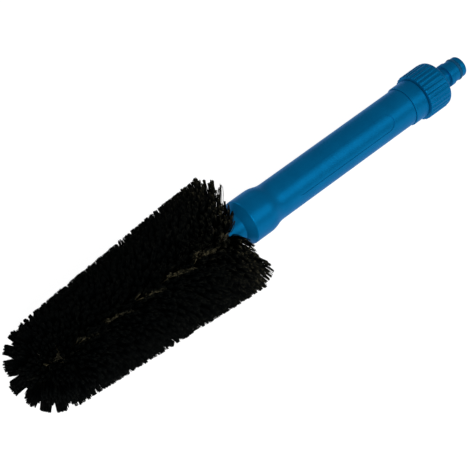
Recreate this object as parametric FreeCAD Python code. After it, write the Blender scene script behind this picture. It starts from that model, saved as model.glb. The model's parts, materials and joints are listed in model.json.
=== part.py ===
import FreeCAD
import Part
import math
import os

from FreeCAD import Vector

# A water-fed wheel brush, in millimetres.
# The long axis is X: the hose connector points to +X and the brush tip to -X, +Z is up.
# The origin is on that axis, at the middle of the connector's front sealing land.

# Hose nipple
LAND_R = 7.9
LAND_HALF = 1.5
NOSE_X = 3.2
NOSE_R = 6.2
NOSE_BULGE = 0.35
MOUTH_CHAMFER = 0.7
WATER_R = 4.6
RING_SECTION_R = 1.2
GROOVE_R = 6.15
GROOVE_WIDTH = 2.6
WAIST_R = 8.05
CATCH_R = 8.8
CATCH_FRONT_X = -8.7
CATCH_BACK_X = -13.1
CATCH_RAMP = 0.6
CATCH_CHAMFER = 0.3
GROOVE_CHAMFER = 0.2
NECK_R = 6.75
FLANGE_R = 11.9
FLANGE_THICK = 2.5
WASHER_THICK = 2.0
WASHER_R = 11.7
WASHER_HOLE_R = 5.6

# Union nut
NUT_FACE_X = -23.3
NUT_REAR_X = -44.8
NUT_CREST_R = 17.9
NUT_VALLEY_R = 17.2
NUT_RIBS = 30
NUT_RIM_R = 17.5
NUT_RIM_LENGTH = 2.6
NUT_RIM_ROUND = 1.9
NUT_REAR_ROUND = 0.7
NUT_RIB_END_ROUND = 0.9
NUT_RIB_SHARE = 0.29
NUT_RIB_RUNOUT = 0.6
NUT_MOUTH_CHAMFER = 0.5
NUT_WALL = 3.5
NUT_NECK_HOLE_R = 7.05
SEAT_GAP = 0.15

# Pipe thread G 3/4
PITCH = 1.814
SPIGOT_ROOT_R = 12.0
SPIGOT_CREST_R = 13.1
NUT_BORE_R = 13.35
NUT_THREAD_CREST_R = 12.3
THREAD_TURNS = 6
THREAD_RUNOUT = 1.2
RIDGE_SINK = 0.3
NUT_RIDGE_ROOT = 1.4
NUT_RIDGE_CREST = 0.3
SPIGOT_RIDGE_ROOT = 1.5
SPIGOT_RIDGE_CREST = 0.35

# Rear spigot and handle tube
SEAM_X = -57.5
COLLAR_R = 15.4
COLLAR_FRONT_X = -45.3
SPIGOT_BORE_R = 8.2
PLUG_LENGTH = 17.0
PLUG_LEAD = 0.8
PLUG_FUNNEL = 1.2
COLLAR_CHAMFER = 0.4
SPIGOT_CHAMFER = 0.6
TUBE_R = 14.5
TUBE_WALL = 2.5
GLUE_GAP = 0.08
END_PLAY = 0.2
SEAM_CHAMFER = 0.45
BLEND_REAR_X = -188.0
BLEND_FRONT_X = -202.0
BULB_R = 16.85
BULB_FRONT_X = -216.3
BULB_CHAMFER = 5.4
BULB_EDGE_ROUND = 0.8
PANEL_REAR_X = -78.0
PANEL_FRONT_X = -176.0
PANEL_HALF = 6.3
PANEL_DEPTH = 0.3
PANEL_DEG = 45.5

# Brush head
NECK_OUT_R = 11.2
NECK_FRONT_X = -236.3
HUB_CHAMFER = 0.6
SOCKET_R = 9.0
HUB_SHOULDER_X = -212.0
HUB_REAR_X = -190.0
HUB_BORE_R = 5.0
HUB_SEAL_X = -198.0
CORE_REAR_R = 10.6
CORE_FRONT_R = 9.4
CORE_FRONT_X = -385.0
CORE_TAIL_R = 7.6
CORE_TAIL_LENGTH = 12.0
CORE_CHANNEL_R = 3.4
OUTLET_R = 0.9
OUTLET_STATIONS = 6
OUTLETS_AROUND = 3
END_CAP_X = -396.0
END_CAP_BAND = 3.0
END_CAP_FLAT_R = 2.0
END_CAP_STEM_R = 3.3
END_CAP_STEM_LENGTH = 8.0

# Bristles
RINGS = 12
TUFTS_AROUND = 9
FIRST_RING_ROOT_X = -244.5
LAST_RING_ROOT_X = -380.0
FIRST_RING_TIP_X = -232.0
LAST_RING_TIP_X = -380.0
FIRST_RING_DEG = 14.1
TUFT_ROOT_DEPTH_R = 6.6
TUFT_ROOT_R = 2.1
TUFT_END_SHARE = 0.205
TRIM_REAR_X = -200.0
TRIM_REAR_R = 46.55
TIP_CENTRE_X = -385.4
TIP_RADIUS = 33.2
TUFT_OVERSHOOT = 1.3
ANCHOR_THICK = 0.45
ANCHOR_WIDTH = 2.0
ANCHOR_HEIGHT = 0.6
TIP_ROOT_CENTRE_X = -386.0
TIP_ROOT_DEPTH = 7.0
TIP_ROOT_R = 1.15
TIP_END_R = 5.8
# each group of tip tufts: count around the axis, lean forward in degrees, first angle in degrees
TIP_GROUPS = ((9, 20.0, 11.6), (7, 43.0, 31.6), (4, 66.5, 31.6), (1, 90.0, 0.0))

AXIS = Vector(1, 0, 0)
ORIGIN = Vector(0, 0, 0)


def point(x, r):
    return Vector(x, 0, r)


def revolved(start, *steps):
    """Solid of revolution about X. A step is an (x, r) point, or a pair (middle, end) for an arc."""
    edges = []
    here = start
    for step in steps + (start,):
        if isinstance(step[0], tuple):
            middle, end = step
            edges.append(Part.Arc(point(*here), point(*middle), point(*end)).toShape())
        else:
            end = step
            edges.append(Part.makeLine(point(*here), point(*end)))
        here = end
    return Part.Face(Part.Wire(edges)).revolve(ORIGIN, AXIS, 360)


def rod(x_rear, x_front, radius):
    """Plain cylinder between two places on the long axis."""
    low = min(x_rear, x_front)
    return Part.makeCylinder(radius, abs(x_front - x_rear), Vector(low, 0, 0), AXIS)


def corner_arc(centre, radius, middle_deg, end_deg):
    """Arc step round a centre: its middle and end points, angles from +X towards larger radius."""
    places = []
    for degrees in (middle_deg, end_deg):
        turn = math.radians(degrees)
        places.append((centre[0] + radius * math.cos(turn), centre[1] + radius * math.sin(turn)))
    return tuple(places)


def around(shape, degrees):
    """Copy turned about the long axis, from +Z towards -Y."""
    copy = shape.copy()
    copy.rotate(ORIGIN, AXIS, degrees)
    return copy


def soft_step(x_from, r_from, x_to, r_to):
    """Two tangent arcs that lead from one radius to another, level at both ends."""
    half_x = (x_to - x_from) / 2
    half_r = (r_to - r_from) / 2
    bend = (half_x ** 2 + half_r ** 2) / (2 * half_r)
    turn = math.atan2(abs(half_x), abs(bend) - abs(half_r)) / 2
    side = math.copysign(1, half_x)
    sag = bend * (1 - math.cos(turn))
    reach = side * abs(bend) * math.sin(turn)
    middle = (x_from + half_x, r_from + half_r)
    first = ((x_from + reach, r_from + sag), middle)
    second = ((x_to - reach, r_to - sag), (x_to, r_to))
    return first, second


def helical_ridge(x_start, root_r, crest_r, root_width, crest_width):
    """Right-hand thread ridge along +X; root_r is buried a little in the wall that carries it."""
    helix = Part.makeHelix(PITCH, PITCH * THREAD_TURNS, root_r)
    section = Part.makePolygon([
        Vector(root_r, 0, -root_width / 2),
        Vector(crest_r, 0, -crest_width / 2),
        Vector(crest_r, 0, crest_width / 2),
        Vector(root_r, 0, root_width / 2),
        Vector(root_r, 0, -root_width / 2),
    ])
    ridge = Part.Wire(helix).makePipeShell([section], True, True)
    ridge.rotate(ORIGIN, Vector(0, 1, 0), 90)
    ridge.translate(Vector(x_start, 0, 0))
    return ridge


def ring_seal(x, inner_r):
    """Rubber ring of round section whose hole has the given radius."""
    return Part.makeTorus(inner_r + RING_SECTION_R, RING_SECTION_R, Vector(x, 0, 0), AXIS)


# ---------------------------------------------------------------- hose connector

FLANGE_FRONT_X = NUT_FACE_X - NUT_WALL - SEAT_GAP
FLANGE_REAR_X = FLANGE_FRONT_X - FLANGE_THICK
WASHER_REAR_X = FLANGE_REAR_X - WASHER_THICK
SPIGOT_FACE_X = WASHER_REAR_X - SEAT_GAP
GROOVE_REAR_X = -LAND_HALF - GROOVE_WIDTH
NIPPLE_SEAL_X = -LAND_HALF - GROOVE_WIDTH / 2


def hose_nipple():
    nose_middle = ((LAND_HALF + NOSE_X) / 2 + NOSE_BULGE, (LAND_R + NOSE_R) / 2 + NOSE_BULGE)
    return revolved(
        (FLANGE_REAR_X, WATER_R),
        (FLANGE_REAR_X, FLANGE_R),
        (FLANGE_FRONT_X, FLANGE_R),
        (FLANGE_FRONT_X, NECK_R),
        (CATCH_BACK_X, NECK_R),
        (CATCH_BACK_X, CATCH_R - CATCH_CHAMFER),
        (CATCH_BACK_X + CATCH_CHAMFER, CATCH_R),
        (CATCH_FRONT_X - CATCH_RAMP, CATCH_R),
        (CATCH_FRONT_X, WAIST_R),
        (GROOVE_REAR_X - GROOVE_CHAMFER, WAIST_R),
        (GROOVE_REAR_X, WAIST_R - GROOVE_CHAMFER),
        (GROOVE_REAR_X, GROOVE_R),
        (-LAND_HALF, GROOVE_R),
        (-LAND_HALF, LAND_R),
        (LAND_HALF, LAND_R),
        (nose_middle, (NOSE_X, NOSE_R)),
        (NOSE_X, WATER_R + MOUTH_CHAMFER),
        (NOSE_X - MOUTH_CHAMFER, WATER_R),
    )


def flange_washer():
    disc = rod(WASHER_REAR_X, FLANGE_REAR_X, WASHER_R)
    return disc.cut(rod(WASHER_REAR_X - 1, FLANGE_REAR_X + 1, WASHER_HOLE_R))


def ribbed_section(x):
    """Wavy outline of the nut: a rounded rib and a rounded valley, repeated round the axis."""
    pitch = 360.0 / NUT_RIBS
    middle_r = (NUT_CREST_R + NUT_VALLEY_R) / 2

    def place(radius, degrees):
        turn = math.radians(degrees)
        return Vector(x, radius * math.sin(turn), radius * math.cos(turn))

    edges = []
    rib_half = pitch * NUT_RIB_SHARE
    for rib in range(NUT_RIBS):
        centre = rib * pitch
        start = place(middle_r, centre - rib_half)
        end = place(middle_r, centre + rib_half)
        following = place(middle_r, centre + pitch - rib_half)
        edges.append(Part.Arc(start, place(NUT_CREST_R, centre), end).toShape())
        edges.append(Part.Arc(end, place(NUT_VALLEY_R, centre + pitch / 2), following).toShape())
    return Part.Face(Part.Wire(edges))


def union_nut():
    ribs = ribbed_section(NUT_REAR_X).extrude(AXIS * (NUT_FACE_X - NUT_RIM_LENGTH - NUT_REAR_X))
    rim_centre = (NUT_FACE_X - NUT_RIM_ROUND, NUT_RIM_R - NUT_RIM_ROUND)
    rim = revolved(
        (NUT_REAR_X + 1, 0),
        (NUT_REAR_X + 1, NUT_VALLEY_R),
        (NUT_FACE_X - NUT_RIM_LENGTH, NUT_RIM_R),
        (rim_centre[0], NUT_RIM_R),
        corner_arc(rim_centre, NUT_RIM_ROUND, 45, 0),
        (NUT_FACE_X, 0),
    )
    body = ribs.fuse(rim)
    rear_centre = (NUT_REAR_X + NUT_REAR_ROUND, NUT_CREST_R - NUT_REAR_ROUND)
    front_centre = (NUT_FACE_X - NUT_RIM_LENGTH - NUT_RIB_END_ROUND, NUT_CREST_R - NUT_RIB_END_ROUND)
    outer_form = revolved(
        (NUT_REAR_X, 0),
        (NUT_REAR_X, rear_centre[1]),
        corner_arc(rear_centre, NUT_REAR_ROUND, 135, 90),
        (front_centre[0], NUT_CREST_R),
        corner_arc(front_centre, NUT_RIB_END_ROUND, 65, 40),
        (NUT_FACE_X - NUT_RIM_LENGTH + NUT_RIB_RUNOUT, NUT_RIM_R),
        (NUT_FACE_X, NUT_RIM_R),
        (NUT_FACE_X, 0),
    )
    body = body.common(outer_form)
    cavity = revolved(
        (NUT_REAR_X - 1, 0),
        (NUT_REAR_X - 1, NUT_BORE_R + NUT_MOUTH_CHAMFER),
        (NUT_REAR_X, NUT_BORE_R + NUT_MOUTH_CHAMFER),
        (NUT_REAR_X + NUT_MOUTH_CHAMFER, NUT_BORE_R),
        (FLANGE_FRONT_X + SEAT_GAP, NUT_BORE_R),
        (FLANGE_FRONT_X + SEAT_GAP, NUT_NECK_HOLE_R),
        (NUT_FACE_X - NUT_MOUTH_CHAMFER, NUT_NECK_HOLE_R),
        (NUT_FACE_X, NUT_NECK_HOLE_R + NUT_MOUTH_CHAMFER),
        (NUT_FACE_X + 1, NUT_NECK_HOLE_R + NUT_MOUTH_CHAMFER),
        (NUT_FACE_X + 1, 0),
    )
    body = body.cut(cavity)
    ridge = helical_ridge(
        SPIGOT_THREAD_REAR_X - PITCH / 2, NUT_BORE_R + RIDGE_SINK, NUT_THREAD_CREST_R,
        NUT_RIDGE_ROOT, NUT_RIDGE_CREST)
    return body.fuse(ridge)


# ---------------------------------------------------------------- rear spigot and handle

SPIGOT_THREAD_REAR_X = SPIGOT_FACE_X - THREAD_RUNOUT - PITCH * THREAD_TURNS


def rear_spigot():
    plug_rear_x = SEAM_X - PLUG_LENGTH
    plug_r = TUBE_R - TUBE_WALL - GLUE_GAP
    body = revolved(
        (plug_rear_x, SPIGOT_BORE_R + PLUG_FUNNEL),
        (plug_rear_x, plug_r - PLUG_LEAD),
        (plug_rear_x + PLUG_LEAD, plug_r),
        (SEAM_X, plug_r),
        (SEAM_X, COLLAR_R - SEAM_CHAMFER),
        (SEAM_X + SEAM_CHAMFER, COLLAR_R),
        (COLLAR_FRONT_X - COLLAR_CHAMFER, COLLAR_R),
        (COLLAR_FRONT_X, COLLAR_R - COLLAR_CHAMFER),
        (COLLAR_FRONT_X, SPIGOT_ROOT_R),
        (SPIGOT_FACE_X - SPIGOT_CHAMFER, SPIGOT_ROOT_R),
        (SPIGOT_FACE_X, SPIGOT_ROOT_R - SPIGOT_CHAMFER),
        (SPIGOT_FACE_X, SPIGOT_BORE_R),
        (plug_rear_x + 2 * PLUG_FUNNEL, SPIGOT_BORE_R),
    )
    ridge = helical_ridge(
        SPIGOT_THREAD_REAR_X, SPIGOT_ROOT_R - RIDGE_SINK, SPIGOT_CREST_R,
        SPIGOT_RIDGE_ROOT, SPIGOT_RIDGE_CREST)
    return body.fuse(ridge)


def grip_panel():
    """Shallow pill-shaped recess that follows the tube's surface on one side of the grip."""
    floor_r = TUBE_R - PANEL_DEPTH
    straight = Part.makeBox(
        PANEL_REAR_X - PANEL_FRONT_X - 2 * PANEL_HALF,
        2 * PANEL_HALF,
        TUBE_R,
        Vector(PANEL_FRONT_X + PANEL_HALF, -PANEL_HALF, floor_r / 2),
    )
    pill = straight
    for x in (PANEL_FRONT_X + PANEL_HALF, PANEL_REAR_X - PANEL_HALF):
        pill = pill.fuse(Part.makeCylinder(PANEL_HALF, TUBE_R, Vector(x, 0, floor_r / 2)))
    return around(pill.cut(rod(SEAM_X, BLEND_FRONT_X, floor_r)), PANEL_DEG)


def handle_body():
    bore_r = TUBE_R - TUBE_WALL
    chamfer_r = BULB_R - BULB_CHAMFER
    front_x = BULB_FRONT_X - BULB_CHAMFER
    edge_centre_x = BULB_FRONT_X + BULB_EDGE_ROUND * math.tan(math.radians(22.5))
    body = revolved(
        (SEAM_X, bore_r),
        (SEAM_X, TUBE_R - SEAM_CHAMFER),
        (SEAM_X - SEAM_CHAMFER, TUBE_R),
        (BLEND_REAR_X, TUBE_R),
        *soft_step(BLEND_REAR_X, TUBE_R, BLEND_FRONT_X, BULB_R),
        (edge_centre_x, BULB_R),
        corner_arc((edge_centre_x, BULB_R - BULB_EDGE_ROUND), BULB_EDGE_ROUND, 112.5, 135),
        (front_x, chamfer_r),
        (front_x, NECK_OUT_R + GLUE_GAP),
        (HUB_SHOULDER_X, NECK_OUT_R + GLUE_GAP),
        (HUB_SHOULDER_X, SOCKET_R),
        (BLEND_REAR_X, SOCKET_R),
        (BLEND_REAR_X + (bore_r - SOCKET_R), bore_r),
    )
    return body.cut(grip_panel())


# ---------------------------------------------------------------- brush head

def head_hub():
    spigot_r = SOCKET_R - GLUE_GAP
    seal_floor_r = SOCKET_R - 2 * RING_SECTION_R
    half = GROOVE_WIDTH / 2
    tail_r = CORE_TAIL_R + GLUE_GAP
    return revolved(
        (HUB_REAR_X, HUB_BORE_R),
        (HUB_REAR_X, spigot_r - HUB_CHAMFER),
        (HUB_REAR_X - HUB_CHAMFER, spigot_r),
        (HUB_SEAL_X + half, spigot_r),
        (HUB_SEAL_X + half, seal_floor_r),
        (HUB_SEAL_X - half, seal_floor_r),
        (HUB_SEAL_X - half, spigot_r),
        (HUB_SHOULDER_X, spigot_r),
        (HUB_SHOULDER_X, NECK_OUT_R),
        (NECK_FRONT_X + HUB_CHAMFER, NECK_OUT_R),
        (NECK_FRONT_X, NECK_OUT_R - HUB_CHAMFER),
        (NECK_FRONT_X, tail_r),
        (NECK_FRONT_X + CORE_TAIL_LENGTH, tail_r),
        (NECK_FRONT_X + CORE_TAIL_LENGTH, HUB_BORE_R),
    )


def trim_radius(x):
    """Radius of the trimmed bristles: a slow taper towards the rounded tip."""
    share = (TRIM_REAR_X - x) / (TRIM_REAR_X - TIP_CENTRE_X)
    return TRIM_REAR_R + share * (TIP_RADIUS - TRIM_REAR_R)


def trimmed_form():
    """The solid tapered form with a ball-shaped tip to which all bristles are trimmed."""
    return revolved(
        (TRIM_REAR_X, 0),
        (TRIM_REAR_X, TRIM_REAR_R),
        (TIP_CENTRE_X, TIP_RADIUS),
        corner_arc((TIP_CENTRE_X, 0), TIP_RADIUS, 135, 180),
    )


def ring_places(ring):
    """Root and tip positions along the axis, and the first tuft's angle, of one ring."""
    share = ring / (RINGS - 1)
    root_x = FIRST_RING_ROOT_X + share * (LAST_RING_ROOT_X - FIRST_RING_ROOT_X)
    tip_x = FIRST_RING_TIP_X + share * (LAST_RING_TIP_X - FIRST_RING_TIP_X)
    half_step = 180.0 / TUFTS_AROUND
    return root_x, tip_x, FIRST_RING_DEG + half_step * (ring % 2)


def tuft(root, tip, root_r, end_r, form):
    """One flaring bundle of bristles in the XZ plane, cut off by the trimmed form."""
    direction = tip - root
    flare = root_r + TUFT_OVERSHOOT * (end_r - root_r)
    cone = Part.makeCone(root_r, flare, direction.Length * TUFT_OVERSHOOT, root, direction)
    return cone.common(form).Solids[0]


def anchor(root, tip):
    """Small flat staple across the bottom of a tuft's hole."""
    direction = (tip - root).normalize()
    strip = Part.makeBox(
        ANCHOR_THICK, ANCHOR_WIDTH, ANCHOR_HEIGHT,
        Vector(-ANCHOR_THICK / 2, -ANCHOR_WIDTH / 2, -ANCHOR_HEIGHT))
    strip.rotate(ORIGIN, Vector(0, 1, 0), math.degrees(math.atan2(direction.x, direction.z)))
    strip.translate(root)
    return strip


def ring_line(ring):
    root_x, tip_x, first_deg = ring_places(ring)
    return point(root_x, TUFT_ROOT_DEPTH_R), point(tip_x, trim_radius(tip_x)), first_deg


def tip_line(lean_deg):
    lean = math.radians(lean_deg)
    aim = Vector(-math.sin(lean), 0, math.cos(lean))
    root = point(TIP_ROOT_CENTRE_X, 0) + aim * TIP_ROOT_DEPTH
    return root, point(TIP_CENTRE_X, 0) + aim * TIP_RADIUS


def repeated(single, count, first_deg):
    """Copies of one solid, evenly spaced around the long axis."""
    return [around(single, first_deg + 360.0 * k / count) for k in range(count)]


def bristle_core(tufts, anchors):
    body = revolved(
        (NECK_FRONT_X + CORE_TAIL_LENGTH - END_PLAY, CORE_CHANNEL_R),
        (NECK_FRONT_X + CORE_TAIL_LENGTH - END_PLAY, CORE_TAIL_R),
        (NECK_FRONT_X, CORE_TAIL_R),
        (NECK_FRONT_X, CORE_REAR_R),
        (CORE_FRONT_X, CORE_FRONT_R),
        (CORE_FRONT_X, CORE_CHANNEL_R),
    )
    drills = []
    for station in range(OUTLET_STATIONS):
        root_x, _, first_deg = ring_places(2 * station)
        next_x = ring_places(2 * station + 1)[0]
        middle = Vector((root_x + next_x) / 2, 0, CORE_CHANNEL_R - 1)
        drill = Part.makeCylinder(OUTLET_R, CORE_REAR_R, middle)
        drills += repeated(drill, OUTLETS_AROUND, first_deg + 90.0 / TUFTS_AROUND)
    return body.cut(Part.Compound(tufts + anchors)).cut(Part.Compound(drills))


def core_end_cap(tufts, anchors):
    dome_x = CORE_FRONT_X - END_CAP_BAND
    length = dome_x - END_CAP_X
    rise = CORE_FRONT_R - END_CAP_FLAT_R
    slant = math.radians(45)
    dome_middle = (dome_x - length * math.sin(slant), CORE_FRONT_R - rise * (1 - math.cos(slant)))
    body = revolved(
        (CORE_FRONT_X + END_CAP_STEM_LENGTH, 0),
        (CORE_FRONT_X + END_CAP_STEM_LENGTH, END_CAP_STEM_R),
        (CORE_FRONT_X, END_CAP_STEM_R),
        (CORE_FRONT_X, CORE_FRONT_R),
        (dome_x, CORE_FRONT_R),
        (dome_middle, (END_CAP_X, END_CAP_FLAT_R)),
        (END_CAP_X, 0),
    )
    return body.cut(Part.Compound(tufts + anchors))


def build_bristles():
    """Ring tufts and tip tufts by node name, and the staples that hold them."""
    form = trimmed_form()
    rings = {}
    ring_anchors = []
    for ring in range(RINGS):
        root, tip, first_deg = ring_line(ring)
        end_r = TUFT_END_SHARE * trim_radius(tip.x)
        single = tuft(root, tip, TUFT_ROOT_R, end_r, form)
        rings["bristle_ring_%02d" % (ring + 1)] = repeated(single, TUFTS_AROUND, first_deg)
        ring_anchors += repeated(anchor(root, tip), TUFTS_AROUND, first_deg)
    tips = {}
    tip_anchors = []
    for number, (count, lean_deg, first_deg) in enumerate(TIP_GROUPS):
        root, tip = tip_line(lean_deg)
        single = tuft(root, tip, TIP_ROOT_R, TIP_END_R, form)
        tips["tip_bristles_%d" % (number + 1)] = repeated(single, count, first_deg)
        tip_anchors += repeated(anchor(root, tip), count, first_deg)
    return rings, ring_anchors, tips, tip_anchors


def build():
    rings, ring_anchors, tips, tip_anchors = build_bristles()
    ring_tufts = [single for group in rings.values() for single in group]
    tip_tufts = [single for group in tips.values() for single in group]
    nodes = {
        "hose_nipple": hose_nipple(),
        "nipple_o_ring": ring_seal(NIPPLE_SEAL_X, GROOVE_R),
        "flange_washer": flange_washer(),
        "union_nut": union_nut(),
        "rear_spigot": rear_spigot(),
        "handle_body": handle_body(),
        "head_hub": head_hub(),
        "hub_o_ring": ring_seal(HUB_SEAL_X, SOCKET_R - 2 * RING_SECTION_R),
        "bristle_core": bristle_core(ring_tufts, ring_anchors),
        "core_end_cap": core_end_cap(tip_tufts, tip_anchors),
        "tuft_anchors": Part.Compound(ring_anchors + tip_anchors),
    }
    for name, group in list(rings.items()) + list(tips.items()):
        nodes[name] = Part.Compound(group)
    return nodes


os.makedirs("parts", exist_ok=True)
for node_name, shape in build().items():
    print(node_name, len(shape.Solids), shape.isValid(), round(shape.Volume, 1))
    shape.exportStep("parts/%s.step" % node_name)
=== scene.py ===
import json
import math

import bmesh
import bpy
import numpy as np
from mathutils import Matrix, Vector


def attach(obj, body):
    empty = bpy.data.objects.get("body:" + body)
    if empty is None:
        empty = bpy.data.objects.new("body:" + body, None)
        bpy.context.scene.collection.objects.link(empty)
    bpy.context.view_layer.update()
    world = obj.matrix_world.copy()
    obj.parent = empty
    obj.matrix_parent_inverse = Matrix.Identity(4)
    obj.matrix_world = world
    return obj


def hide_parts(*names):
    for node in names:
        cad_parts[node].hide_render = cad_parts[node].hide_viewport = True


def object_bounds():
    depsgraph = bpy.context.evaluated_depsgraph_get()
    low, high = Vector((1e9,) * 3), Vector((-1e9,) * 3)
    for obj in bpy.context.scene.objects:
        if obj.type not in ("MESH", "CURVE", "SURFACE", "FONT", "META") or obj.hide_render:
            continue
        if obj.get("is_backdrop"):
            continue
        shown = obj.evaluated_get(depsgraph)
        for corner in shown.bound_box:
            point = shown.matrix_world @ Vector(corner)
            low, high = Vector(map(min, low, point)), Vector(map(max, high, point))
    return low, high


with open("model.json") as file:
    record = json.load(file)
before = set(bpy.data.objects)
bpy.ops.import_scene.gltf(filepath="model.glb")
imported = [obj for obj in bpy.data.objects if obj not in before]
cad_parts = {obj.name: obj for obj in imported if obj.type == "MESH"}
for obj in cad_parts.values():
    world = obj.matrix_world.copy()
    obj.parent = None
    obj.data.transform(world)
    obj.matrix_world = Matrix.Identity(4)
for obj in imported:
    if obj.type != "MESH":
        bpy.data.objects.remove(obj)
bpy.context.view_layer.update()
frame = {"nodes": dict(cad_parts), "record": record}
NODES = frame["nodes"]
MM = 0.001

# The form to which all strands are trimmed: a slow taper that ends in a ball.
TRIM_REAR_X = -200.0 * MM
TRIM_REAR_R = 47.0 * MM
TIP_CENTRE_X = -385.4 * MM
TIP_RADIUS = 33.6 * MM
# The trimmed form stands slightly beside the core's axis (y and z).
TRIM_CENTRE = np.array([-0.8 * MM, -0.5 * MM])
# The search for the trimmed form along a strand: its range and how often it is halved.
REACH_FROM = 5.0 * MM
REACH_TO = 90.0 * MM
REACH_STEPS = 24

# Strands of one tuft, and their shape.
STRANDS = 420
TIP_STRANDS = 380
STRAND_R = 0.21 * MM
STRAND_THINNEST = 0.85
STRAND_THICKEST = 1.2
STRAND_POINTS = 5
STRAND_SIDES = 3
STRAND_BOW = 0.6 * MM
# Below 1, strands spread most near the root and then run straighter.
FLARE_POWER = 0.50

# How tufts fan out: half widths along and round the brush's axis, where they meet the trimmed form.
ROOT_SPREAD = 1.9 * MM
FAN_ALONG = 8.5 * MM
FAN_AROUND_SHARE = 0.305
FRONT_WIDER = 0.30
FACING_NARROWER = 0.18
TUFT_SCATTER = 1.2 * MM
TIP_ROOT_SPREAD = 1.35 * MM
TIP_FAN_ALONG = 3.0 * MM
TIP_FAN_AROUND = 3.4 * MM
TIP_TUFT_SCATTER = 0.7 * MM
# Tip tufts that point to or from the camera are wider; those at the outline keep gaps between them.
TIP_NEAR_WIDER = 2.1
TIP_OUTLINE = 0.35
TO_CAMERA = np.array([-0.446, -0.468, 0.763])

# Strands are cut from a tuft of even length, so the outer ones are only a little longer than its middle.
OVERLENGTH = 1.4 * MM
REAR_OVERLENGTH = 4.0 * MM
CUT_SCATTER = 0.5 * MM
STRAY_SHARE = 0.06
STRAY_SHORTEST = 0.5 * MM
STRAY_LONGEST = 3.5 * MM

# Ends gather in small locks.
ROOT_SCATTER = 0.05
LOCKS = 26
LOCK_SCATTER = 0.08
LOCK_PULL = 0.55
LOCK_RAGGED = 0.7 * MM
DIRECTION_SCATTER = 0.010

# The parting: direction across the axis, in degrees from +Z towards -Y, on which the rings are pressed
# forward, most at the rear.
PARTING_DEG = 31.6
PRESSED_BY = 10.5 * MM
PRESSED_DECAY = 0.76
REAR_SET = 4.0 * MM

# The rearmost ring is denser, and its tufts beside the parting lean away from it.
REAR_PRESSED_BY = 6.5 * MM
REAR_NARROWER = 0.12
REAR_NEAR_NARROWER = 0.16
REAR_ROOT_SPREAD = 3.6 * MM
REAR_PARTED_BY = 4.2 * MM

# Tones of the strands, from 0 (black) to 1 (tan): cut ends, roots (a painted sheen), lighter strands and
# the rest.
CUT_TONE = 0.42
REAR_CUT_TONE = 0.45
CUT_SHARE = 0.99
# Painted sheen near the roots: its tone and the share of the strand that it covers.
ROOT_SHEEN_TONE = 0.5
ROOT_SHEEN_SHARE = 0.6
LIGHT_SHARE = 0.07
LIGHT_TONES = (0.3, 0.75)
LIGHT_FADING = 0.5
BASE_TONE = 0.2

# Painted light: paler slanting strokes along the parting, standing for the lit flanks of the tufts there,
# one pair for every second ring.
LIT_STROKE_TONE = 2.3
STROKE_TIP_SHARE = 0.45
STROKE_UPPER = 0.45
STROKE_START_X = -279.5 * MM
STROKE_PITCH = 24.6 * MM
STROKE_SLANT_DEG = 10.0
STROKE_DEG = 3.3
STROKE_FADING = 0.55

RING_SEED = 100
TIP_SEED = 200

# Corners of a CAD node that are nearer than this are one corner.
WELD = 0.001 * MM

# Most of a noise texture's values lie between these two.
NOISE_LOW = 0.3
NOISE_HIGH = 0.7

BLUE_DEEP = (0.0006, 0.108, 0.262)
BLUE = (0.0008, 0.118, 0.284)
BLUE_PALE = (0.0012, 0.128, 0.302)
BLUE_SHEEN = (0.12, 0.55, 0.95, 1.0)
SEAL_DEEP = (0.0010, 0.052, 0.125)
SEAL_PALE = (0.0014, 0.064, 0.150)
# Core tan, darkened as painted shade for its place deep among the bristles.
SHADED_TAN_DEEP = (0.038, 0.033, 0.016)
SHADED_TAN_PALE = (0.070, 0.060, 0.028)
BRASS_DEEP = (0.40, 0.27, 0.09)
BRASS_PALE = (0.62, 0.45, 0.18)
FLOOR_DEEP = (0.16, 0.16, 0.16)
FLOOR_PALE = (0.18, 0.18, 0.18)
HALF_GREY = (0.5, 0.5, 0.5)
WHITE = (1.0, 1.0, 1.0)

CAMERA_AZIMUTH = -43.588
CAMERA_ELEVATION = 49.669
CAMERA_DISTANCE = 1.4044
CAMERA_LENS = 158.06
# The camera looks at this place on the axis, moved square to the brush in the picture.
TARGET_X = -0.2260
TARGET_OFFSET = 0.0039
OFFSET_RIGHT = 0.5873
OFFSET_DOWN = 0.8094
# Directions square to the brush's axis, towards the camera and below it in the picture, and the axis.
TOWARDS_CAMERA = Vector((0.0, -0.5233, 0.8521))
BELOW_CAMERA = Vector((0.0, -0.8521, -0.5233))
ALONG_AXIS = Vector((1.0, 0.0, 0.0))

LIGHT_DISTANCE = 1.8
KEY_RIGHT = 0.29
KEY_DOWN = 0.40
KEY_SIZE = 0.9
KEY_POWER = 28.0
GLOSS_DIRECTION = TOWARDS_CAMERA * 0.885 + ALONG_AXIS * 0.441 + BELOW_CAMERA * 0.25
GLOSS_POWER = 6.5
RIM_POWER = 8.0
SOFT_SIZE = 1.2
WORLD_STRENGTH = 0.22
FLOOR_HALF = 6.0
FLOOR_GLOW = 0.93


# ---------------------------------------------------------------- node helpers

def new_material(name):
    """A material with an output and one shader."""
    material = bpy.data.materials.new(name)
    material.use_nodes = True
    tree = material.node_tree
    tree.nodes.clear()
    output = tree.nodes.new("ShaderNodeOutputMaterial")
    shader = tree.nodes.new("ShaderNodeBsdfPrincipled")
    tree.links.new(shader.outputs["BSDF"], output.inputs["Surface"])
    return material, tree, shader


def noise(tree, scale, detail=4.0, roughness=0.55, stretch=(1, 1, 1)):
    """A noise texture in the object's own space."""
    place = tree.nodes.new("ShaderNodeTexCoord")
    mapping = tree.nodes.new("ShaderNodeMapping")
    mapping.inputs["Scale"].default_value = stretch
    texture = tree.nodes.new("ShaderNodeTexNoise")
    texture.inputs["Scale"].default_value = scale
    texture.inputs["Detail"].default_value = detail
    texture.inputs["Roughness"].default_value = roughness
    tree.links.new(place.outputs["Object"], mapping.inputs["Vector"])
    tree.links.new(mapping.outputs["Vector"], texture.inputs["Vector"])
    return texture.outputs["Fac"]


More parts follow.
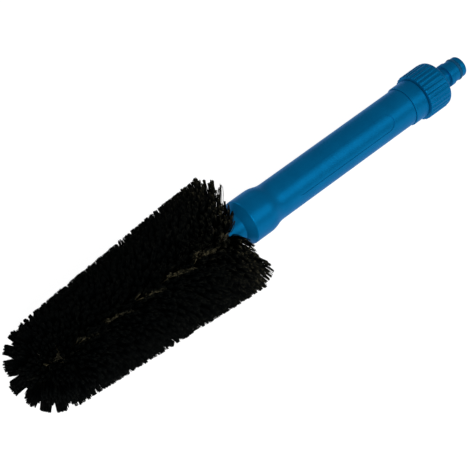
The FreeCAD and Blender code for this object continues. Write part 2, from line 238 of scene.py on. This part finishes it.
def ramp(tree, value, stops):
    """Colours looked up from a value."""
    node = tree.nodes.new("ShaderNodeValToRGB")
    elements = node.color_ramp.elements
    while len(elements) < len(stops):
        elements.new(0.5)
    for element, (place, colour) in zip(elements, stops):
        element.position = place
        element.color = (*colour, 1.0)
    tree.links.new(value, node.inputs["Fac"])
    return node.outputs["Color"]


def between(tree, cloud, deep, pale):
    """Two colours mixed by a noise texture."""
    return ramp(tree, cloud, ((NOISE_LOW, deep), (NOISE_HIGH, pale)))


def spread(tree, cloud, low, high):
    """A noise texture's values brought between two numbers."""
    node = tree.nodes.new("ShaderNodeMapRange")
    node.inputs["From Min"].default_value = NOISE_LOW
    node.inputs["From Max"].default_value = NOISE_HIGH
    node.inputs["To Min"].default_value = low
    node.inputs["To Max"].default_value = high
    tree.links.new(cloud, node.inputs["Value"])
    return node.outputs["Result"]


def bump(tree, shader, height, distance, strength):
    """Fine relief on a shader."""
    node = tree.nodes.new("ShaderNodeBump")
    node.inputs["Distance"].default_value = distance
    node.inputs["Strength"].default_value = strength
    tree.links.new(height, node.inputs["Height"])
    tree.links.new(node.outputs["Normal"], shader.inputs["Normal"])


# ---------------------------------------------------------------- materials

def blue_plastic():
    """Satin moulded plastic with a blue sheen."""
    material, tree, shader = new_material("blue_plastic")
    cloud = noise(tree, 90.0, detail=3.0)
    colour = ramp(tree, cloud, ((0.30, BLUE_DEEP), (0.55, BLUE), (0.80, BLUE_PALE)))
    tree.links.new(colour, shader.inputs["Base Color"])
    grain = noise(tree, 900.0, detail=5.0, roughness=0.6)
    tree.links.new(spread(tree, grain, 0.31, 0.40), shader.inputs["Roughness"])
    shader.inputs["IOR"].default_value = 1.49
    shader.inputs["Specular IOR Level"].default_value = 0.05
    shader.inputs["Metallic"].default_value = 0.45
    shader.inputs["Specular Tint"].default_value = BLUE_SHEEN
    bump(tree, shader, grain, 0.04 * MM, 0.5)
    return material


def rubber():
    """Seals: a dark blue, because the photograph shows no black ring on the nipple."""
    material, tree, shader = new_material("black_rubber")
    grain = noise(tree, 1400.0)
    tree.links.new(between(tree, grain, SEAL_DEEP, SEAL_PALE), shader.inputs["Base Color"])
    tree.links.new(spread(tree, grain, 0.55, 0.72), shader.inputs["Roughness"])
    shader.inputs["Specular IOR Level"].default_value = 0.1
    bump(tree, shader, grain, 0.03 * MM, 0.4)
    return material


def tan_core():
    """Matt plastic of the core and its cap: its own tan, darkened as painted shade for its place deep
    among the black bristles.
    """
    material, tree, shader = new_material("tan_core")
    cloud = noise(tree, 260.0, stretch=(0.35, 1, 1))
    tree.links.new(between(tree, cloud, SHADED_TAN_DEEP, SHADED_TAN_PALE), shader.inputs["Base Color"])
    grain = noise(tree, 1600.0)
    tree.links.new(spread(tree, grain, 0.55, 0.75), shader.inputs["Roughness"])
    bump(tree, shader, grain, 0.05 * MM, 0.5)
    return material


def brass():
    """Plain wire of the staples."""
    material, tree, shader = new_material("staple_brass")
    cloud = noise(tree, 700.0)
    tree.links.new(between(tree, cloud, BRASS_DEEP, BRASS_PALE), shader.inputs["Base Color"])
    shader.inputs["Metallic"].default_value = 1.0
    tree.links.new(spread(tree, cloud, 0.3, 0.5), shader.inputs["Roughness"])
    return material


def bristle():
    """Nylon strand, from black to tan by the tone that each point of a strand carries; the tan roots and
    parting strokes in that tone are painted light.
    """
    material, tree, shader = new_material("black_bristle")
    tone = tree.nodes.new("ShaderNodeAttribute")
    tone.attribute_name = "tone"
    colour = ramp(tree, tone.outputs["Fac"], (
        (0.00, (0.0004, 0.0008, 0.0009)),
        (0.30, (0.0011, 0.0018, 0.0018)),
        (0.60, (0.0130, 0.0130, 0.0090)),
        (1.00, (0.0850, 0.0740, 0.0420)),
    ))
    streak = noise(tree, 1500.0, detail=2.0)
    blend = tree.nodes.new("ShaderNodeMix")
    blend.data_type = "RGBA"
    blend.blend_type = "MULTIPLY"
    blend.inputs["Factor"].default_value = 0.5
    tree.links.new(colour, blend.inputs["A"])
    tree.links.new(between(tree, streak, HALF_GREY, WHITE), blend.inputs["B"])
    tree.links.new(blend.outputs["Result"], shader.inputs["Base Color"])
    tree.links.new(spread(tree, streak, 0.45, 0.65), shader.inputs["Roughness"])
    shader.inputs["Specular IOR Level"].default_value = 0.02
    return material


def floor_material():
    """Pale floor that glows a little, so that it stays even."""
    material, tree, shader = new_material("pale_floor")
    cloud = noise(tree, 3.0)
    tree.links.new(between(tree, cloud, FLOOR_DEEP, FLOOR_PALE), shader.inputs["Base Color"])
    shader.inputs["Roughness"].default_value = 0.9
    shader.inputs["Emission Color"].default_value = (*WHITE, 1.0)
    shader.inputs["Emission Strength"].default_value = FLOOR_GLOW
    return material


# ---------------------------------------------------------------- bristles

def trim_radius(x):
    """Radius of the trimmed form at a place along the axis; zero beyond its tip."""
    share = (TRIM_REAR_X - x) / (TRIM_REAR_X - TIP_CENTRE_X)
    cone = TRIM_REAR_R + share * (TIP_RADIUS - TRIM_REAR_R)
    beyond = np.minimum(x - TIP_CENTRE_X, 0.0)
    ball = np.sqrt(np.maximum(TIP_RADIUS ** 2 - beyond ** 2, 0.0))
    return np.where(x < TIP_CENTRE_X, ball, cone)


def reach_to_trim(roots, directions):
    """Distance from each root to the trimmed form along its direction, by halving a range."""
    near = np.full(len(roots), REACH_FROM)
    far = np.full(len(roots), REACH_TO)
    for _ in range(REACH_STEPS):
        middle = (near + far) / 2
        places = roots + directions * middle[:, None]
        across = places[:, 1:] - TRIM_CENTRE
        inside = np.hypot(across[:, 0], across[:, 1]) < trim_radius(places[:, 0])
        near = np.where(inside, middle, near)
        far = np.where(inside, far, middle)
    return near


def separate_solids(node):
    """Corner places of each separate solid of a CAD node."""
    form = bmesh.new()
    form.from_mesh(node.data)
    bmesh.ops.remove_doubles(form, verts=form.verts, dist=WELD)
    seen = set()
    solids = []
    for seed in form.verts:
        if seed in seen:
            continue
        seen.add(seed)
        waiting = [seed]
        places = []
        while waiting:
            corner = waiting.pop()
            places.append(node.matrix_world @ corner.co)
            for edge in corner.link_edges:
                other = edge.other_vert(corner)
                if other not in seen:
                    seen.add(other)
                    waiting.append(other)
        solids.append(np.array(places))
    form.free()
    return solids


def box_middle(places):
    return (places.min(0) + places.max(0)) / 2


def turn_about_axis(place):
    """Angle of a place about the axis, from +Z towards -Y."""
    return math.atan2(-place[1], place[2])


def tuft_axes(node):
    """Root and end places of every tuft of a CAD node, in order round the axis."""
    pairs = []
    for places in separate_solids(node):
        nothing = 0 * places[:, 0]
        centre = np.stack([np.maximum(places[:, 0], TIP_CENTRE_X), nothing, nothing], axis=1)
        depth = np.linalg.norm(places - centre, axis=1)
        is_inner = depth < 0.5 * (depth.min() + depth.max())
        pairs.append((box_middle(places[is_inner]), box_middle(places[~is_inner])))
    pairs.sort(key=lambda pair: round(turn_about_axis(pair[1]), 4))
    return pairs


def disc(rng, count, scatter):
    """Evenly scattered points of a unit disc, laid out on a sunflower's spiral."""
    order = np.arange(count) + 0.5
    radius = np.sqrt(order / count)
    turn = order * math.pi * (3.0 - math.sqrt(5.0)) + rng.uniform(0, 2 * math.pi)
    points = np.stack([radius * np.cos(turn), radius * np.sin(turn)], axis=1)
    return points + rng.normal(0.0, scatter, points.shape)


def gathered(rng, spots):
    """Ends drawn together into loose locks, and how much shorter than trimmed each lock is."""
    centres = disc(rng, LOCKS, LOCK_SCATTER)
    short = np.abs(rng.normal(0.0, LOCK_RAGGED, LOCKS))
    gaps = np.linalg.norm(spots[:, None, :] - centres[None, :, :], axis=2)
    nearest = gaps.argmin(axis=1)
    return spots + LOCK_PULL * (centres[nearest] - spots), short[nearest]


def trimming(rng, count):
    """How far short of the trimmed surface each strand ends."""
    short = np.abs(rng.normal(0.0, CUT_SCATTER, count))
    stray = rng.random(count) < STRAY_SHARE
    return short + stray * rng.uniform(STRAY_SHORTEST, STRAY_LONGEST, count)


def unit(vectors):
    return vectors / np.linalg.norm(vectors, axis=-1, keepdims=True)


def fanned_tuft(rng, root, end, count, root_spread, fan_along, fan_around, overlength=OVERLENGTH):
    """Roots, tips and sideways spread of the strands of one tuft that fans out from its hole."""
    aim = unit(end - root)
    sideways = np.cross(aim, [1.0, 0.0, 0.0])
    if np.linalg.norm(sideways) < 0.05:
        sideways = np.array([0.0, 1.0, 0.0])
    sideways = unit(sideways)
    along = np.cross(sideways, aim)
    spots = disc(rng, count, ROOT_SCATTER)
    ends, short = gathered(rng, spots)
    roots = root + root_spread * (spots[:, :1] * along + spots[:, 1:] * sideways)
    targets = end + fan_along * ends[:, :1] * along + fan_around * ends[:, 1:] * sideways
    directions = unit(targets - roots)
    directions += rng.normal(0.0, DIRECTION_SCATTER, directions.shape)
    directions = unit(directions)
    longest = reach_to_trim(root[None, :], aim[None, :])[0] + overlength
    reach = np.minimum(reach_to_trim(roots, directions), longest) - short - trimming(rng, count)
    lengths = directions * reach[:, None]
    flares = lengths - (lengths @ aim)[:, None] * aim
    return roots, roots + lengths, flares


def strand_paths(rng, roots, tips, flares):
    """Curved lines of STRAND_POINTS points from each root to its tip, that spread early and straighten."""
    share = np.linspace(0.0, 1.0, STRAND_POINTS)[None, :, None]
    lines = roots[:, None, :] + (tips - roots)[:, None, :] * share
    lines += flares[:, None, :] * (share ** FLARE_POWER - share)
    bow = rng.normal(0.0, STRAND_BOW, (len(roots), 1, 3))
    return lines + bow * np.sin(math.pi * share)


def strand_tones(rng, count, cut_tone):
    """Tone of each point of each strand: tan roots as a painted sheen, black length, a few lighter
    strands, paler cuts.
    """
    share = np.linspace(0.0, 1.0, STRAND_POINTS)[None, :]
    # Painted sheen: strands are lighter near their roots, fading out along the first part of their length.
    root = np.clip(1.0 - share / ROOT_SHEEN_SHARE, 0.0, 1.0) * rng.uniform(ROOT_SHEEN_TONE, 1.0, (count, 1))
    is_light = rng.random((count, 1)) < LIGHT_SHARE
    light = np.where(is_light, rng.uniform(*LIGHT_TONES, (count, 1)), 0.0)
    cut = np.where(share > CUT_SHARE, rng.uniform(0.0, cut_tone, (count, 1)), 0.0)
    base = rng.uniform(0.0, BASE_TONE, (count, 1))
    return np.maximum(np.maximum(root, light * (1.0 - LIGHT_FADING * share)), np.maximum(base, cut))


def painted_lit_strokes(rng, tips):
    """Painted light: pale slanting strokes for the lit flanks of the tufts where they part on the camera's
    side, two for every second ring.
    """
    off = np.degrees(np.arctan2(-tips[:, 1], tips[:, 2])) - PARTING_DEG
    phase = np.mod((tips[:, 0] - STROKE_START_X) / STROKE_PITCH, 1.0)
    lower = np.exp(-((off - STROKE_SLANT_DEG * phase) / STROKE_DEG) ** 2)
    upper = np.exp(-((off + STROKE_SLANT_DEG * phase) / STROKE_DEG) ** 2)
    fading = 1.0 - STROKE_FADING * phase
    behind_tip = np.clip((tips[:, 0] - TIP_CENTRE_X) / (TRIM_REAR_X - TIP_CENTRE_X), 0.0, 1.0)
    fading *= STROKE_TIP_SHARE + (1.0 - STROKE_TIP_SHARE) * behind_tip
    return LIT_STROKE_TONE * (lower + STROKE_UPPER * upper) * fading * rng.random(len(tips))


def strand_faces(count):
    """Faces of the strands' tubes, and of their two closed ends."""
    ring = STRAND_SIDES
    starts = np.arange(count)[:, None] * STRAND_POINTS * ring
    base = starts[:, :, None] + np.arange(STRAND_POINTS - 1)[None, :, None] * ring
    here = np.arange(ring)[None, None, :]
    a = base + here
    b = base + (here + 1) % ring
    c = b + ring
    d = a + ring
    sides = [np.stack([a, b, c], axis=-1).reshape(-1, 3), np.stack([a, c, d], axis=-1).reshape(-1, 3)]
    root_ends = starts + [[2, 1, 0]]
    tip_ends = starts + (STRAND_POINTS - 1) * ring + [[0, 1, 2]]
    return np.concatenate([*sides, root_ends, tip_ends])


def strand_corners(lines, radii):
    """Corners of the strands' tubes, square to each line."""
    along = unit(np.gradient(lines, axis=1))
    helper = np.where(np.abs(along[..., :1]) < 0.8, [[[1.0, 0, 0]]], [[[0, 1.0, 0]]])
    first = unit(np.cross(along, helper))
    second = np.cross(along, first)
    corners = []
    for corner in range(STRAND_SIDES):
        turn = corner * 2 * math.pi / STRAND_SIDES
        offset = math.cos(turn) * first + math.sin(turn) * second
        corners.append(lines + offset * radii[:, None, None])
    return np.stack(corners, axis=2).reshape(-1, 3)


def strand_mesh(name, lines, tones, radii):
    """One mesh of three-sided strands that are closed at both ends."""
    mesh = bpy.data.meshes.new(name)
    mesh.from_pydata(strand_corners(lines, radii), [], strand_faces(len(lines)))
    mesh.update()
    mesh.shade_smooth()
    layer = mesh.attributes.new("tone", "FLOAT", "POINT")
    layer.data.foreach_set("value", np.repeat(tones.reshape(-1), STRAND_SIDES).astype(np.float32))
    piece = bpy.data.objects.new(name, mesh)
    bpy.context.scene.collection.objects.link(piece)
    return piece


def bristle_piece(node, tufts, rng, material, cut_tone):
    """The strands of one CAD node's tufts, in its place."""
    roots, tips, flares = (np.concatenate(part) for part in zip(*tufts))
    lines = strand_paths(rng, roots, tips, flares)
    tones = strand_tones(rng, len(roots), cut_tone)
    # The tone also takes the painted light of the lit strokes along the parting.
    tones = np.maximum(tones, painted_lit_strokes(rng, tips)[:, None])
    radii = STRAND_R * rng.uniform(STRAND_THINNEST, STRAND_THICKEST, len(roots))
    piece = strand_mesh("strands_" + node, lines, tones, radii)
    piece.data.materials.append(material)
    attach(piece, "handle")
    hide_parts(node)


def rear_tuft(rng, root, end, facing, off_parting):
    """A tuft of the rearmost ring, that leans away from the parting when it stands beside it."""
    end = end - [REAR_SET + facing ** 2 * REAR_PRESSED_BY, 0.0, 0.0] + rng.normal(0.0, TUFT_SCATTER, 3)
    fan_along = FAN_ALONG * (1.0 - FACING_NARROWER * facing ** 4)
    fan_along *= 1.0 - REAR_NARROWER
    fan_around = FAN_AROUND_SHARE * float(trim_radius(end[0]))
    fan_around *= 1.0 - REAR_NARROWER - REAR_NEAR_NARROWER * facing ** 4
    away = np.cross([1.0, 0.0, 0.0], end * [0.0, 1.0, 1.0])
    away *= math.copysign(1.0, math.sin(off_parting)) / np.linalg.norm(away)
    end = end + REAR_PARTED_BY * facing ** 4 * away
    return fanned_tuft(rng, root, end, STRANDS, REAR_ROOT_SPREAD, fan_along, fan_around, REAR_OVERLENGTH)


def ring_tuft(rng, root, end, facing, ring, last_ring):
    """A tuft of one of the other rings, pressed forward near the parting and less so to the front."""
    forward = REAR_SET * PRESSED_DECAY ** ring
    forward += facing ** 4 * PRESSED_BY * PRESSED_DECAY ** (ring - 1)
    end = end - [forward, 0.0, 0.0] + rng.normal(0.0, TUFT_SCATTER, 3)
    fan_along = FAN_ALONG * (1.0 + FRONT_WIDER * ring / last_ring - FACING_NARROWER * facing ** 4)
    fan_around = FAN_AROUND_SHARE * float(trim_radius(end[0]))
    return fanned_tuft(rng, root, end, STRANDS, ROOT_SPREAD, fan_along, fan_around)


def ring_tufts(rng, node, ring, last_ring):
    """The strands of a ring's tufts; facing is 1 on the parting and 0 away from it."""
    tufts = []
    for root, end in tuft_axes(node):
        off_parting = turn_about_axis(end) - math.radians(PARTING_DEG)
        facing = max(math.cos(off_parting), 0.0)
        if ring == 0:
            tufts.append(rear_tuft(rng, root, end, facing, off_parting))
        else:
            tufts.append(ring_tuft(rng, root, end, facing, ring, last_ring))
    return tufts


def tip_tufts(rng, node):
    """The strands of the tufts that close the tip."""
    tufts = []
    for root, end in tuft_axes(node):
        across_outline = abs(float(unit(end - root) @ TO_CAMERA))
        wider = 1.0 + TIP_NEAR_WIDER * max(across_outline - TIP_OUTLINE, 0.0)
        end = end + rng.normal(0.0, TIP_TUFT_SCATTER, 3)
        tufts.append(fanned_tuft(rng, root, end, TIP_STRANDS, TIP_ROOT_SPREAD,
                                 TIP_FAN_ALONG * wider, TIP_FAN_AROUND * wider))
    return tufts


def nodes_named(start):
    return sorted(name for name in NODES if name.startswith(start))


def build_bristles(material):
    """All strands, with paler cut ends at the rear."""
    rings = nodes_named("bristle_ring_")
    for ring, name in enumerate(rings):
        rng = np.random.default_rng(RING_SEED + ring)
        cut_tone = CUT_TONE + REAR_CUT_TONE * PRESSED_DECAY ** (2 * ring)
        tufts = ring_tufts(rng, NODES[name], ring, len(rings) - 1)
        bristle_piece(name, tufts, rng, material, cut_tone)
    for group, name in enumerate(nodes_named("tip_bristles_")):
        rng = np.random.default_rng(TIP_SEED + group)
        bristle_piece(name, tip_tufts(rng, NODES[name]), rng, material, CUT_TONE)


# ---------------------------------------------------------------- stage

def build_floor(lowest):
    """A plain floor under the brush."""
    half = FLOOR_HALF
    mesh = bpy.data.meshes.new("floor")
    corners = [(-half, -half, lowest), (half, -half, lowest), (half, half, lowest), (-half, half, lowest)]
    mesh.from_pydata(corners, [], [(0, 1, 2, 3)])
    floor = bpy.data.objects.new("floor", mesh)
    bpy.context.scene.collection.objects.link(floor)
    mesh.materials.append(floor_material())
    floor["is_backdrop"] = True


def back_vector(azimuth, elevation):
    """Direction from the target to a camera at these angles."""
    a = math.radians(azimuth)
    e = math.radians(elevation)
    return Vector((math.sin(a) * math.cos(e), -math.cos(a) * math.cos(e), math.sin(e)))


def aim_at(thing, location, direction):
    """Places a camera or light and points it along a direction."""
    thing.location = location
    thing.rotation_mode = "QUATERNION"
    thing.rotation_quaternion = direction.to_track_quat("-Z", "Y")
    bpy.context.scene.collection.objects.link(thing)


def build_camera():
    """The scene's camera, at the photograph's viewing angle."""
    back = back_vector(CAMERA_AZIMUTH, CAMERA_ELEVATION)
    right = Vector((0, 0, 1)).cross(back).normalized()
    up = back.cross(right)
    target = Vector((TARGET_X, 0, 0)) + TARGET_OFFSET * (OFFSET_RIGHT * right - OFFSET_DOWN * up)
    data = bpy.data.cameras.new("camera")
    data.lens = CAMERA_LENS
    data.clip_start = 0.05
    data.clip_end = 50.0
    camera = bpy.data.objects.new("camera", data)
    aim_at(camera, target + back * CAMERA_DISTANCE, -back)
    bpy.context.scene.camera = camera
    return target, right, up, back


def area_light(name, target, offset, size, power):
    """A round soft light at an offset from the target, which it faces."""
    data = bpy.data.lights.new(name, "AREA")
    data.shape = "DISK"
    data.size = size
    data.energy = power
    aim_at(bpy.data.objects.new(name, data), target + offset, -offset)


def build_lights(target, right, up, back):
    """A key light near the camera, one that is mirrored along the handle, a rim light and the world."""
    key_offset = back * LIGHT_DISTANCE + right * KEY_RIGHT - up * KEY_DOWN
    gloss_offset = GLOSS_DIRECTION.normalized() * LIGHT_DISTANCE
    area_light("key", target, key_offset, KEY_SIZE, KEY_POWER)
    area_light("gloss", target, gloss_offset, SOFT_SIZE, GLOSS_POWER)
    area_light("rim", target, -BELOW_CAMERA * LIGHT_DISTANCE, SOFT_SIZE, RIM_POWER)
    world = bpy.data.worlds.new("studio")
    world.use_nodes = True
    background = world.node_tree.nodes["Background"]
    background.inputs["Color"].default_value = (*WHITE, 1.0)
    background.inputs["Strength"].default_value = WORLD_STRENGTH
    bpy.context.scene.world = world
    bpy.context.scene.view_settings.view_transform = "Standard"


# ---------------------------------------------------------------- assembly

def dress_nodes():
    """Gives every hard CAD node the material of its slot."""
    by_slot = {
        "blue_plastic": blue_plastic(),
        "black_rubber": rubber(),
        "tan_core": tan_core(),
        "staple_brass": brass(),
    }
    slots = {entry["node"]: entry["material_slot"] for entry in frame["record"]["subparts"]}
    for name, node in NODES.items():
        material = by_slot.get(slots[name])
        if material is None:
            continue
        node.data.materials.clear()
        node.data.materials.append(material)


dress_nodes()
build_bristles(bristle())
stage_places = build_camera()
build_floor(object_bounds()[0].z)
build_lights(*stage_places)
